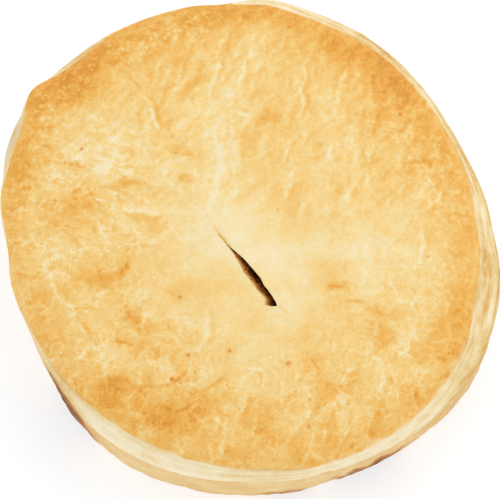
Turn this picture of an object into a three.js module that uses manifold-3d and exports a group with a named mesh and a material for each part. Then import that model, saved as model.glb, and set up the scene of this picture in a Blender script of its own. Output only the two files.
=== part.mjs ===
// A baker's round mince and cheese pie: a tapered pastry case, its filling, and a puffed flaky lid with one
// leaning steam slit. Lengths are in millimetres. Angles are in degrees, anticlockwise from +X, from above.
import * as THREE from 'three';
import { mergeVertices } from 'three/addons/utils/BufferGeometryUtils.js';
import Module from 'manifold-3d';

const seamHeight = 21; // where the lid sits on the case
const shoulderHeight = 27.6; // edge of the lid's browned top
const crownHeight = 31.6; // middle of the lid, before its swells
const caseThickness = 3.4;
const floorThickness = 3.6;
const fillingRise = 5.2; // how far the filling domes up under the lid
const crumbDepth = 0.45; // half the depth of the hollows in its top
const gap = 0.3; // between one piece and the next

// The pie is a little longer than wide. The seam's outline is a mean radius with waves round it, each as
// [how many, height, angle of a crest], and a few lumps and dents, each as [angle, half width, height].
const rimRadius = 56.2;
const rimWaves = [[1, 0.6, -137], [2, 2.85, -64], [3, 0.3, -8], [4, 1.05, -26], [5, 0.2, 8]];
const rimLumps = [
  [-165, 6, 0.5], [-79, 5, 0.5], [-29, 4, 0.5], [68, 9, -0.3],
  [85, 5, 0.6], [95, 3, -0.6], [145, 4, 0.7], [166, 5, -0.6],
];

// How far the browned top stops short of the seam's outline, as [angle, distance].
const topInset = closedCurve([
  [-160, -0.5], [-135, 1.5], [-115, 2.3], [-90, 1.1], [-68, 0.1], [-45, 2.0], [-22, 5.0], [-2, 3.5],
  [25, 2.8], [50, 3.7], [72, 4.7], [88, 4.0], [96, 2.7], [125, 2.8], [138, 3.0], [146, 1.5], [156, 2.8],
  [178, 0.8],
]);
// How far the foot of the case stands in from the seam's outline.
const footInset = closedCurve([
  [-150, 3.0], [-120, 3.9], [-75, 4.8], [-50, 4.2], [-30, 2.2], [0, 3.2], [60, 4.4], [120, 4.4], [180, 3.8],
]);
const footRound = 2.6; // radius of the case's bottom corner
const wallBelly = 0.5;
const wallSetBack = 0.4; // the lid stands over the case by this much
const wallRipples = [[9, 2.1, 0.22], [23, -3, 0.16]]; // how many round the case, twist, height
const wallHeights = [seamHeight, 20, 17, 13.5, 10, 6.5, 3.8, 2.2, 1, 0.25, 0];

// Relief of the lid.
const domePower = 2.5;
const edgeRoll = 0.9; // the browned top turns down this far at its edge
const swells = { count: 7, height: 0.2, longest: 34, shortest: 13 };
const streaks = { count: 4, height: 0.16, wavelength: 8.5, lean: 76, from: -8, to: 18 };
const blisters = { count: 190, spread: 3.95, jitter: 2.2, radius: 4.6, height: 0.55 };
// Creases, from one end to the other, with a sideways bend, half width and depth.
const creases = [
  { from: [-4.4, -36.2], to: [-15.3, -45.0], bend: 2.0, width: 1.5, depth: 0.5 },
  { from: [-13.6, -36.3], to: [-24.1, -39.6], bend: -1.0, width: 1.3, depth: 0.4 },
  { from: [-29.4, -29.0], to: [-23.5, -29.8], bend: 0.3, width: 1.2, depth: 0.35 },
  { from: [17.6, -16.9], to: [25.8, -20.3], bend: -0.8, width: 1.4, depth: 0.35 },
  { from: [-26.7, 34.7], to: [-17.5, 18.9], bend: 1.6, width: 1.4, depth: 0.35 },
  { from: [-41.6, 15.5], to: [-32.7, 11.6], bend: 0.5, width: 1.3, depth: 0.4 },
  { from: [-3.9, 48.8], to: [-9.2, 27.0], bend: -1.2, width: 1.5, depth: 0.35 },
  { from: [12.7, 35.8], to: [11.3, 22.0], bend: 0.8, width: 1.5, depth: 0.3 },
];

// The slit opens from a hairline towards its far end. Going down it leans under its raised lip.
const slit = {
  from: [-6.4, -4.4], to: [6.1, -21.4], bend: -0.5, width: 2.4, widestAt: 0.78, lean: 0.55,
  lipRise: 0.75, lipReach: 4.5, steps: 14,
};

// Layers that show at the lid's side, from the browned edge down to the seam. Each row is a share of the way
// out to the seam's outline, a share of the way down, and how much its flakes stand in and out.
const sideLayers = [
  [0.05, 0.10, 0.10], [-0.02, 0.22, 0.15], [0.22, 0.32, 0.30], [0.30, 0.50, 0.35], [0.72, 0.62, 0.40],
  [0.80, 0.80, 0.35], [1.00, 0.93, 0.20],
];
const topRings = 26;
const ringStep = 6; // each ring of the top has this many points more than the one inside it

const degree = Math.PI / 180;
const goldenAngle = Math.PI * (3 - Math.sqrt(5));

// A smooth curve round the full circle through points given as [angle, value].
function closedCurve(points) {
  const sorted = [...points].sort((a, b) => a[0] - b[0]);
  const count = sorted.length;
  const knot = (i) => {
    const [angle, value] = sorted[((i % count) + count) % count];
    return [angle + 360 * Math.floor(i / count), value];
  };
  const slope = (i) => (knot(i + 1)[1] - knot(i - 1)[1]) / (knot(i + 1)[0] - knot(i - 1)[0]);
  return (angle) => {
    const turned = sorted[0][0] + THREE.MathUtils.euclideanModulo(angle - sorted[0][0], 360);
    let i = 0;
    while (knot(i + 1)[0] <= turned) i++;
    const [start, end] = [knot(i), knot(i + 1)];
    const span = end[0] - start[0];
    const t = (turned - start[0]) / span;
    return start[1] * (1 + 2 * t) * (1 - t) ** 2 + slope(i) * span * t * (1 - t) ** 2
      + end[1] * t * t * (3 - 2 * t) + slope(i + 1) * span * t * t * (t - 1);
  };
}

// A repeatable number from 0 to 1 for each whole number.
function scatter(index) {
  return THREE.MathUtils.euclideanModulo(Math.sin(index * 12.9898 + 4.1) * 43758.5453, 1);
}

function bell(distance, halfWidth) {
  return Math.exp(-((distance / halfWidth) ** 2));
}

function angleBetween(a, b) {
  return THREE.MathUtils.euclideanModulo(a - b + 180, 360) - 180;
}

// Radius of the seam's outline.
function rimAt(angle) {
  const waves = rimWaves.reduce((sum, [count, height, crest]) => (
    sum + height * Math.cos(count * (angle - crest) * degree)), 0);
  const lumps = rimLumps.reduce((sum, [at, halfWidth, height]) => (
    sum + height * bell(angleBetween(angle, at), halfWidth)), 0);
  return rimRadius + waves + lumps;
}

function lidEdgeAt(angle) {
  return rimAt(angle) - topInset(angle);
}

// Outer face of the case at a height: a taper with a slight belly, a rounded bottom corner and ripples.
function caseFaceAt(angle, height) {
  const share = height / seamHeight;
  const taper = footInset(angle) * (1 - share) - wallBelly * Math.sin(Math.PI * share);
  const belowRound = Math.max(0, footRound - height);
  const corner = footRound - Math.sqrt(footRound ** 2 - belowRound ** 2);
  const ripple = wallRipples.reduce((sum, [count, twist, size]) => (
    sum + size * Math.sin(angle * degree * count + twist * share)), 0);
  return rimAt(angle) - taper - corner - wallSetBack + ripple * Math.sin(Math.PI * Math.min(1, share + 0.15));
}

function caseInsideAt(angle, height) {
  return caseFaceAt(angle, Math.max(height, footRound)) - caseThickness;
}

// Long swells from waves that each run in a direction of their own.
function swellAt(x, y) {
  let sum = 0;
  for (let i = 0; i < swells.count; i++) {
    const wavelength = THREE.MathUtils.lerp(swells.longest, swells.shortest, i / (swells.count - 1));
    const along = x * Math.cos(i * goldenAngle) + y * Math.sin(i * goldenAngle);
    sum += swells.height * Math.sin(2 * Math.PI * along / wavelength + i * 1.7);
  }
  return sum;
}

// Long narrow wrinkles side by side, on the half of the lid behind the slit.
function streakAt(x, y) {
  const fade = THREE.MathUtils.smoothstep(y, streaks.from, streaks.to);
  const across = x * Math.sin(streaks.lean * degree) - y * Math.cos(streaks.lean * degree);
  const along = x * Math.cos(streaks.lean * degree) + y * Math.sin(streaks.lean * degree);
  let sum = 0;
  for (let i = 1; i <= streaks.count; i++) {
    const drift = 1.6 * Math.sin(along / (5 + 3 * i) + 2.3 * i);
    sum += Math.sin(2 * Math.PI * (across + drift) / streaks.wavelength * (0.7 + 0.25 * i) + 1.9 * i);
  }
  return fade * streaks.height * sum;
}

const blisterSpots = Array.from({ length: blisters.count }, (_, i) => {
  const radius = blisters.spread * Math.sqrt(i + 0.5);
  return {
    x: radius * Math.cos(i * goldenAngle) + blisters.jitter * (scatter(i) - 0.5),
    y: radius * Math.sin(i * goldenAngle) + blisters.jitter * (scatter(i + 500) - 0.5),
    radius: blisters.radius * (0.7 + 0.5 * scatter(i + 1000)),
    height: blisters.height * scatter(i + 1500) ** 2,
  };
});

function blisterAt(x, y) {
  return blisterSpots.reduce((highest, spot) => {
    const share = ((x - spot.x) ** 2 + (y - spot.y) ** 2) / spot.radius ** 2;
    return share < 1 ? Math.max(highest, spot.height * (1 - share) ** 1.5) : highest;
  }, 0);
}

// Where a point lies by a bent stroke: its share along and its signed distance to the left.
function besideStroke(stroke, x, y) {
  const [dx, dy] = [stroke.to[0] - stroke.from[0], stroke.to[1] - stroke.from[1]];
  const length = Math.hypot(dx, dy);
  const share = ((x - stroke.from[0]) * dx + (y - stroke.from[1]) * dy) / length ** 2;
  const left = ((y - stroke.from[1]) * dx - (x - stroke.from[0]) * dy) / length;
  const bow = stroke.bend * Math.sin(Math.PI * THREE.MathUtils.clamp(share, 0, 1));
  const beyond = Math.max(0, -share, share - 1) * length;
  return { share, left: left - bow, distance: Math.hypot(left - bow, beyond) };
}

function creaseAt(x, y) {
  return creases.reduce((sum, crease) => (
    sum - crease.depth * bell(besideStroke(crease, x, y).distance, crease.width)), 0);
}

// Both lips of the slit are raised, the one on its left, which overhangs it, the more so.
function lipAt(x, y) {
  const { left, distance } = besideStroke(slit, x, y);
  const side = THREE.MathUtils.smoothstep(left, -1.5, 1.5);
  return slit.lipRise * bell(distance, slit.lipReach) * (0.25 + 0.75 * side);
}

function lidTopAt(x, y) {
  const share = Math.min(1, Math.hypot(x, y) / lidEdgeAt(Math.atan2(y, x) / degree));
  const dome = shoulderHeight + (crownHeight - shoulderHeight) * (1 - share ** domePower);
  const roll = edgeRoll * THREE.MathUtils.smoothstep(share, 0.93, 1) ** 2;
  const relief = swellAt(x, y) + streakAt(x, y) + blisterAt(x, y) + creaseAt(x, y);
  return dome - roll + relief * (1 - 0.5 * share ** 6) + lipAt(x, y);
}

// Joins rings of points, each with its own count, into one closed skin. They run from the middle of the top
// outwards, down and back to the middle underneath, and a ring of one point closes each end.
function skin(rings) {
  const starts = [];
  const positions = [];
  for (const ring of rings) {
    starts.push(positions.length / 3);
    ring.forEach((point) => positions.push(...point));
  }
  const triangles = [];
  for (let i = 0; i + 1 < rings.length; i++) {
    stitch(triangles, starts[i], rings[i].length, starts[i + 1], rings[i + 1].length);
  }
  const geometry = new THREE.BufferGeometry();
  geometry.setAttribute('position', new THREE.Float32BufferAttribute(positions, 3));
  geometry.setIndex(triangles);
  return geometry;
}

// Fills the band between two neighbouring rings, stepping on whichever of them is behind.
function stitch(triangles, innerStart, innerCount, outerStart, outerCount) {
  const innerSteps = innerCount > 1 ? innerCount : 0;
  const outerSteps = outerCount > 1 ? outerCount : 0;
  let [i, j] = [0, 0];
  while (i < innerSteps || j < outerSteps) {
    const outerIsBehind = (j + 0.5) / outerSteps <= (i + 0.5) / innerSteps;
    const stepsOuter = j < outerSteps && (i === innerSteps || outerIsBehind);
    const inner = innerStart + (i % innerCount);
    const outer = outerStart + (j % outerCount);
    if (stepsOuter) {
      j++;
      triangles.push(inner, outer, outerStart + (j % outerCount));
    } else {
      i++;
      triangles.push(inner, outer, innerStart + (i % innerCount));
    }
  }
}

// One ring of points. The radius and the height are found for each angle.
function ring(count, radiusAt, heightAt) {
  return Array.from({ length: count }, (_, i) => {
    const angle = i * 360 / count;
    const radius = radiusAt(angle);
    const [x, y] = [radius * Math.cos(angle * degree), radius * Math.sin(angle * degree)];
    return [x, y, heightAt(x, y, angle)];
  });
}

function makeLidBody() {
  const rings = [[[0, 0, lidTopAt(0, 0)]]];
  for (let k = 1; k <= topRings; k++) {
    rings.push(ring(k * ringStep, (angle) => lidEdgeAt(angle) * k / topRings, lidTopAt));
  }
  const edgeCount = topRings * ringStep;
  sideLayers.forEach(([outward, down, flake], row) => {
    const radiusAt = (angle) => {
      const straight = THREE.MathUtils.lerp(lidEdgeAt(angle), rimAt(angle), outward);
      return straight + flake * flakeAt(angle, row);
    };
    const heightAt = (x, y, angle) => {
      const edge = lidEdgeAt(angle);
      const top = lidTopAt(edge * Math.cos(angle * degree), edge * Math.sin(angle * degree));
      const wander = 0.3 * flakeAt(angle + 40, row) * Math.sin(Math.PI * down);
      return THREE.MathUtils.lerp(top, seamHeight + gap, down) + wander;
    };
    rings.push(ring(edgeCount, radiusAt, heightAt));
  });
  rings.push(ring(edgeCount, (angle) => rimAt(angle) - 0.5, () => seamHeight + gap));
  for (const [count, share] of [[108, 1], [72, 0.8], [48, 0.55], [24, 0.28]]) {
    const radiusAt = (angle) => caseInsideAt(angle, seamHeight) * share;
    rings.push(ring(count, radiusAt, () => seamHeight + gap + fillingRise * (1 - share ** 2)));
  }
  rings.push([[0, 0, seamHeight + gap + fillingRise]]);
  return skin(rings);
}

// The uneven edge of one layer of flakes, from -1 to 1.
function flakeAt(angle, row) {
  const turn = angle * degree;
  return 0.5 * Math.sin(turn * (7 + row) + row * 2.4) + 0.3 * Math.sin(turn * (19 - row) + row * 1.3)
    + 0.2 * Math.sin(turn * 37 + row * 4.1);
}

// A leaning blade, as wide as the slit at each place along it and long enough to pass through the lid.
function makeSlitBlade() {
  const [dx, dy] = [slit.to[0] - slit.from[0], slit.to[1] - slit.from[1]];
  const length = Math.hypot(dx, dy);
  const [alongX, alongY] = [dx / length, dy / length];
  const openingAt = (share) => {
    const opening = share < slit.widestAt
      ? (share / slit.widestAt) ** 1.5
      : Math.sqrt(1 - ((share - slit.widestAt) / (1 - slit.widestAt)) ** 2);
    return Math.max(0.06, slit.width / 2 * opening);
  };
  const edgePoint = (share, side, height) => {
    const shift = slit.bend * Math.sin(Math.PI * share) + slit.lean * (crownHeight - height);
    const sideways = shift + side * openingAt(share);
    return [
      slit.from[0] + dx * share - alongY * sideways,
      slit.from[1] + dy * share + alongX * sideways,
      height,
    ];
  };
  const loop = (height) => {
    const rightSide = Array.from({ length: slit.steps }, (_, i) => edgePoint(i / slit.steps, -1, height));
    const leftSide = Array.from({ length: slit.steps }, (_, i) => edgePoint(1 - i / slit.steps, 1, height));
    return [...rightSide, ...leftSide];
  };
  const cap = (height) => [edgePoint(0.5, 0, height)];
  const [high, low] = [crownHeight + 3, seamHeight];
  return skin([cap(high), loop(high), loop(low), cap(low)]);
}

function makeCase() {
  const insideAtFloor = (angle) => caseInsideAt(angle, floorThickness);
  const rings = [[[0, 0, floorThickness]]];
  for (const [count, share] of [[24, 0.35], [48, 0.7], [72, 1]]) {
    rings.push(ring(count, (angle) => insideAtFloor(angle) * share, () => floorThickness));
  }
  for (const height of [9, 15, seamHeight]) {
    rings.push(ring(72, (angle) => caseInsideAt(angle, height), () => height));
  }
  for (const height of wallHeights) {
    rings.push(ring(120, (angle) => caseFaceAt(angle, height), () => height));
  }
  for (const [count, share] of [[60, 0.7], [24, 0.35]]) {
    rings.push(ring(count, (angle) => caseFaceAt(angle, 0) * share, () => 0));
  }
  rings.push([[0, 0, 0]]);
  return skin(rings);
}

// Hollows between the lumps of meat.
function crumbDipAt(x, y) {
  return crumbDepth * (1 + Math.sin(x * 0.9 + 1.3 * Math.sin(y * 0.6)) * Math.sin(y * 0.8 + 0.5));
}

// The filling fills the case and domes up under the lid, with a lumpy top.
function makeFilling() {
  const rings = [];
  const outer = 12;
  const topAt = (x, y, share) => (
    seamHeight - 0.1 + fillingRise * (1 - share ** 2) - crumbDipAt(x, y) * (1 - share ** 4));
  const sideAt = (angle, height) => caseInsideAt(angle, height) - gap;
  rings.push([[0, 0, topAt(0, 0, 0)]]);
  for (let k = 1; k <= outer; k++) {
    const radiusAt = (angle) => sideAt(angle, seamHeight) * k / outer;
    rings.push(ring(k * ringStep, radiusAt, (x, y) => topAt(x, y, k / outer)));
  }
  for (const height of [15, 9, floorThickness + gap]) {
    rings.push(ring(outer * ringStep, (angle) => sideAt(angle, height), () => height));
  }
  const bottom = floorThickness + gap;
  rings.push(ring(30, (angle) => sideAt(angle, bottom) * 0.5, () => bottom));
  rings.push([[0, 0, bottom]]);
  return skin(rings);
}

const wasm = await Module();
wasm.setup();

function toSolid(geometry) {
  const merged = mergeVertices(geometry);
  return new wasm.Manifold(new wasm.Mesh({
    numProp: 3,
    vertProperties: new Float32Array(merged.attributes.position.array),
    triVerts: new Uint32Array(merged.index.array),
  }));
}

function toGeometry(solid) {
  const mesh = solid.getMesh();
  const geometry = new THREE.BufferGeometry();
  geometry.setAttribute('position', new THREE.Float32BufferAttribute(mesh.vertProperties, 3));
  geometry.setIndex([...mesh.triVerts]);
  return geometry;
}

function makePiece(name, geometry, color, roughness) {
  geometry.computeVertexNormals();
  const piece = new THREE.Mesh(geometry, new THREE.MeshStandardMaterial({ color, roughness, metalness: 0 }));
  piece.name = name;
  return piece;
}

const slitLid = toSolid(makeLidBody()).subtract(toSolid(makeSlitBlade()));

const pie = new THREE.Group();
pie.name = 'mince_and_cheese_pie';
pie.add(makePiece('base_crust', makeCase(), '#dfc08e', 0.75));
pie.add(makePiece('filling', makeFilling(), '#6e4020', 0.45));
pie.add(makePiece('lid', toGeometry(slitLid), '#efcd8b', 0.6));

export default pie;
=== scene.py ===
import math

import bpy
import numpy as np
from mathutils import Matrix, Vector


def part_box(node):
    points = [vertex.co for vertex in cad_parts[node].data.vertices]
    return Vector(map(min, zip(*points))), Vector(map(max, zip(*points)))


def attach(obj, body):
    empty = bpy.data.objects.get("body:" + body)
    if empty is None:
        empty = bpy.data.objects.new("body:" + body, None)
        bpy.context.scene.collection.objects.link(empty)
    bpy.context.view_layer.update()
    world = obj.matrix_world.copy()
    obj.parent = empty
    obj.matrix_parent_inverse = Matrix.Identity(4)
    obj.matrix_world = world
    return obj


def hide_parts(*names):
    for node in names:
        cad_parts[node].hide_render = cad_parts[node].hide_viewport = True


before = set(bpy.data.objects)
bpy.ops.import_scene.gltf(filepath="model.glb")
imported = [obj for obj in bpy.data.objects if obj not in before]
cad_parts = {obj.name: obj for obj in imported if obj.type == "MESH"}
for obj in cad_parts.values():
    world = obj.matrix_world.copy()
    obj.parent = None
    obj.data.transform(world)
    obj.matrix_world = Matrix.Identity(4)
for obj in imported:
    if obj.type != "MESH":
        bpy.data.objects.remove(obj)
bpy.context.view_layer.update()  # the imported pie: its body, its nodes and its record

mm = 0.001


# Uneven but repeatable numbers, so that every run gives the same pie.
def lattice(column, row, seed):  # from 0 to 1 for each whole place
    spread = column.astype(np.int64) * 374761393 + row.astype(np.int64) * 668265263 + seed * 144269
    spread = spread & 0xFFFFFFFF
    spread = ((spread ^ (spread >> 13)) * 1274126177) & 0xFFFFFFFF
    return (spread ^ (spread >> 16)) / 4294967296.0


def cloud(x, y, size, seed):  # soft lumps of about the given size, from -1 to 1
    px, py = x / size, y / size
    column, row = np.floor(px), np.floor(py)
    fx, fy = px - column, py - row
    total = np.zeros_like(px)
    for dx in (0, 1):
        for dy in (0, 1):
            turn = lattice(column + dx, row + dy, seed) * 2 * math.pi
            nearX, nearY = 1 - np.abs(fx - dx), 1 - np.abs(fy - dy)
            weight = nearX ** 2 * (3 - 2 * nearX) * nearY ** 2 * (3 - 2 * nearY)
            total += weight * ((fx - dx) * np.cos(turn) + (fy - dy) * np.sin(turn))
    return total * 1.6


def clouds(x, y, size, seed, octaves=3, roughness=0.5):
    total = np.zeros_like(x, dtype=float)
    height = 1.0
    for octave in range(octaves):
        total += height * cloud(x, y, size / 2 ** octave, seed + 17 * octave)
        height *= roughness
    return total


def blisterCells(x, y, size, seed, loose=0.9):
    # Distance to the nearest spot, room to the next one and the spot's own number.
    px, py = x / size, y / size
    column, row = np.floor(px), np.floor(py)
    nearest, second = np.full_like(px, 9.0), np.full_like(px, 9.0)
    own = np.zeros_like(px)
    for dx in (-1, 0, 1):
        for dy in (-1, 0, 1):
            offX = px - (column + dx + 0.5 + loose * (lattice(column + dx, row + dy, seed) - 0.5))
            offY = py - (row + dy + 0.5 + loose * (lattice(column + dx, row + dy, seed + 1) - 0.5))
            away = np.hypot(offX, offY)
            closer = away < nearest
            second = np.where(closer, nearest, np.minimum(second, away))
            own = np.where(closer, lattice(column + dx, row + dy, seed + 2), own)
            nearest = np.minimum(nearest, away)
    return nearest, second - nearest, own


def smooth(value, low, high):
    t = np.clip((value - low) / (high - low), 0, 1)
    return t * t * (3 - 2 * t)


def bell(distance, halfWidth):
    return np.exp(-(distance / halfWidth) ** 2)


def planAngle(x, y):
    return np.degrees(np.arctan2(y, x))


def angleBetween(a, b):
    return (a - b + 180) % 360 - 180


def stretches(angle, rows):  # each row is an angle, a half width and an amount
    return sum(amount * bell(angleBetween(angle, at), width) for at, width, amount in rows)


def closedCurve(points):  # a smooth curve round the full circle through (angle, value) points
    angles, values = np.array(sorted(points), float).T
    angles = np.concatenate([angles[-2:] - 360, angles, angles[:2] + 360])
    values = np.concatenate([values[-2:], values, values[:2]])
    slopes = np.zeros_like(values)
    slopes[1:-1] = (values[2:] - values[:-2]) / (angles[2:] - angles[:-2])

    def at(angle):
        turned = angles[2] + (angle - angles[2]) % 360
        i = np.clip(np.searchsorted(angles, turned, side="right") - 1, 2, len(angles) - 3)
        span = angles[i + 1] - angles[i]
        t = (turned - angles[i]) / span
        return (values[i] * (1 + 2 * t) * (1 - t) ** 2 + slopes[i] * span * t * (1 - t) ** 2
                + values[i + 1] * t * t * (3 - 2 * t) + slopes[i + 1] * span * t * t * (t - 1))
    return at


def besideStroke(start, end, bend, x, y):
    # Share along a bent stroke, signed distance to its left, plain distance.
    dx, dy = np.subtract(end, start)
    length = math.hypot(dx, dy)
    share = ((x - start[0]) * dx + (y - start[1]) * dy) / length ** 2
    left = ((y - start[1]) * dx - (x - start[0]) * dy) / length
    left = left - bend * np.sin(math.pi * np.clip(share, 0, 1))
    beyond = np.maximum(0, np.maximum(-share, share - 1)) * length
    return share, left, np.hypot(left, beyond)


def besideRoute(route, x, y):
    # Distance to a route of straight pieces, share of the way along it, and which side.
    lengths = [math.dist(start, end) for start, end in zip(route, route[1:])]
    nearest = np.full_like(x, 99.0)
    share, side = np.zeros_like(x), np.zeros_like(x)
    passed = 0.0
    for start, end, length in zip(route, route[1:], lengths):
        dx, dy = np.subtract(end, start) / length
        ahead = np.clip((x - start[0]) * dx + (y - start[1]) * dy, 0, length)
        offX, offY = x - start[0] - ahead * dx, y - start[1] - ahead * dy
        distance = np.hypot(offX, offY)
        closer = distance < nearest
        share = np.where(closer, (passed + ahead) / sum(lengths), share)
        side = np.where(closer, np.sign(0.9 * offX - 0.45 * offY), side)  # 1 on the right and the front
        nearest = np.minimum(nearest, distance)
        passed += length
    return nearest, share, side


# Meshes, from points in millimetres.
def makeObject(name, points, faces):
    mesh = bpy.data.meshes.new(name)
    mesh.from_pydata((np.asarray(points) * mm).tolist(), [], faces)
    mesh.polygons.foreach_set("use_smooth", np.ones(len(mesh.polygons), bool))
    mesh.update()
    piece = bpy.data.objects.new(name, mesh)
    bpy.context.scene.collection.objects.link(piece)
    return piece


def roundGrid(cells):  # an even square grid pressed into a disc of radius 1, and its border in order
    line = np.linspace(-1, 1, cells + 1)
    u, v = np.meshgrid(line, line)
    wide = np.abs(u) >= np.abs(v)
    reach = np.where(wide, u, v)
    other = np.where(wide, v, u)
    slant = math.pi / 4 * np.divide(other, reach, out=np.zeros_like(u), where=reach != 0)
    x = np.where(wide, reach * np.cos(slant), reach * np.sin(slant))
    y = np.where(wide, reach * np.sin(slant), reach * np.cos(slant))
    number = np.arange((cells + 1) ** 2).reshape(cells + 1, cells + 1)
    quads = np.stack([number[:-1, :-1], number[:-1, 1:], number[1:, 1:], number[1:, :-1]], -1).reshape(-1, 4)
    border = np.concatenate([number[0, :-1], number[:-1, -1], number[-1, :0:-1], number[:0:-1, 0]])
    return x.ravel(), y.ravel(), quads, border


def bandFaces(upper, lower):  # quads between two anticlockwise rings of vertex numbers, the lower one outside
    return np.stack([upper, lower, np.roll(lower, -1), np.roll(upper, -1)], -1)


def ringPoints(angles, radius, height):
    turn = np.radians(angles)
    height = np.broadcast_to(height, turn.shape)
    return np.stack([radius * np.cos(turn), radius * np.sin(turn), height], -1)


def addRings(points, faces, last, around, rings):  # a ring for each radius and height, joined to the last one
    count = sum(len(part) for part in points)
    for radius, height in rings:
        points.append(ringPoints(around, radius, height))
        ring = np.arange(count, count + len(around))
        faces += bandFaces(last, ring).tolist()
        last = ring
        count += len(around)
    return last


def closeRing(points, faces, ring, height):  # a fan from the ring to one point in the middle
    count = sum(len(part) for part in points)
    points.append([[0, 0, height]])
    faces += [[int(a), count, int(b)] for a, b in zip(ring, np.roll(ring, -1))]


def vertexPlaces(piece):
    places = np.empty(len(piece.data.vertices) * 3)
    piece.data.vertices.foreach_get("co", places)
    return places.reshape(-1, 3) / mm


def paintVertices(piece, **marks):  # each mark is a number for each vertex, or three
    for name, values in marks.items():
        flat = np.asarray(values, np.float32).ravel()
        single = len(flat) == len(piece.data.vertices)
        layer = piece.data.attributes.new(name, "FLOAT" if single else "FLOAT_VECTOR", "POINT")
        layer.data.foreach_set("value" if single else "vector", flat)


# Material nodes.
def tone(red, green, blue):  # a colour as it looks on a screen, 0 to 255
    def light(value):
        value /= 255
        return value / 12.92 if value <= 0.04045 else ((value + 0.055) / 1.055) ** 2.4
    return (light(red), light(green), light(blue), 1.0)


def addNode(tree, kind, inputs=None, **settings):
    made = tree.nodes.new(kind)
    for name, value in settings.items():
        setattr(made, name, value)
    for key, value in (inputs or {}).items():
        if isinstance(value, bpy.types.NodeSocket):
            tree.links.new(value, made.inputs[key])
        else:
            made.inputs[key].default_value = value
    return made


def calc(tree, operation, a, b=0.0, c=0.0):
    return addNode(tree, "ShaderNodeMath", {0: a, 1: b, 2: c}, operation=operation).outputs[0]


def times(tree, a, b):
    return calc(tree, "MULTIPLY", a, b)


def addScaled(tree, value, amount, base):  # the base plus the value times the amount
    return calc(tree, "MULTIPLY_ADD", value, amount, base)


def centred(tree, noise):  # noise from 0 to 1, moved to lie round 0
    return calc(tree, "SUBTRACT", noise, 0.5)


def mixed(tree, factor, first, second):
    return addScaled(tree, factor, calc(tree, "SUBTRACT", second, first), first)


def vectorCalc(tree, operation, *values):
    return addNode(tree, "ShaderNodeVectorMath", dict(enumerate(values)), operation=operation)


def painted(tree, name):
    return addNode(tree, "ShaderNodeAttribute", attribute_name=name).outputs["Fac"]


def grain(tree, place, size, detail=2.0, roughness=0.55):  # noise with lumps of the given size
    look = {"Vector": place, "Scale": 1 / size, "Detail": detail, "Roughness": roughness}
    return addNode(tree, "ShaderNodeTexNoise", look).outputs["Fac"]


def shifted(tree, place, size, reach):  # the same place, pushed about softly
    look = {"Vector": place, "Scale": 1 / size, "Detail": 1.0}
    push = addNode(tree, "ShaderNodeTexNoise", look).outputs["Color"]
    push = vectorCalc(tree, "SUBTRACT", push, (0.5, 0.5, 0.5)).outputs[0]
    return vectorCalc(tree, "MULTIPLY_ADD", push, (reach, reach, reach), place).outputs[0]


def between(tree, value, low, high, start=0.0, end=1.0):
    limits = {"Value": value, "From Min": low, "From Max": high, "To Min": start, "To Max": end}
    return addNode(tree, "ShaderNodeMapRange", limits, interpolation_type="SMOOTHSTEP").outputs["Result"]


def cells(tree, place, size, feature):
    return addNode(tree, "ShaderNodeTexVoronoi", {"Vector": place, "Scale": 1 / size}, feature=feature,
                   voronoi_dimensions="2D")


def firstOf(tree, vector):
    return addNode(tree, "ShaderNodeSeparateXYZ", {"Vector": vector}).outputs["X"]


def leaning(tree, place, lean, stretch):  # the place turned and squeezed, so a pattern there is drawn out
    turn = math.radians(lean)
    ways = [(math.sin(turn), -math.cos(turn), 0), (math.cos(turn) / stretch, math.sin(turn) / stretch, 0)]
    across, along = [vectorCalc(tree, "DOT_PRODUCT", place, way).outputs["Value"] for way in ways]
    return addNode(tree, "ShaderNodeCombineXYZ", {"X": across, "Y": along}).outputs[0]


def ramp(tree, factor, stops):
    made = addNode(tree, "ShaderNodeValToRGB", {"Fac": factor})
    steps = made.color_ramp.elements
    while len(steps) < len(stops):
        steps.new(0.5)
    for step, (position, colour) in zip(steps, stops):
        step.position = position
        step.color = colour
    return made.outputs["Color"]


def blend(tree, factor, first, second):
    return addNode(tree, "ShaderNodeMix", {"Factor": factor, "A": first, "B": second},
                   data_type="RGBA").outputs["Result"]


def newMaterial(name):  # the place is in millimetres
    material = bpy.data.materials.new(name)
    material.use_nodes = True
    tree = material.node_tree
    tree.nodes.clear()
    shader = addNode(tree, "ShaderNodeBsdfPrincipled")
    addNode(tree, "ShaderNodeOutputMaterial", {"Surface": shader.outputs["BSDF"]})
    place = addNode(tree, "ShaderNodeTexCoord").outputs["Object"]
    place = addNode(tree, "ShaderNodeVectorMath", {0: place, "Scale": 1 / mm}, operation="SCALE").outputs[0]
    return material, tree, shader, place


def addBump(tree, shader, height, strength, depth):
    bump = addNode(tree, "ShaderNodeBump", {"Height": height, "Strength": strength, "Distance": depth * mm})
    tree.links.new(bump.outputs["Normal"], shader.inputs["Normal"])


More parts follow.
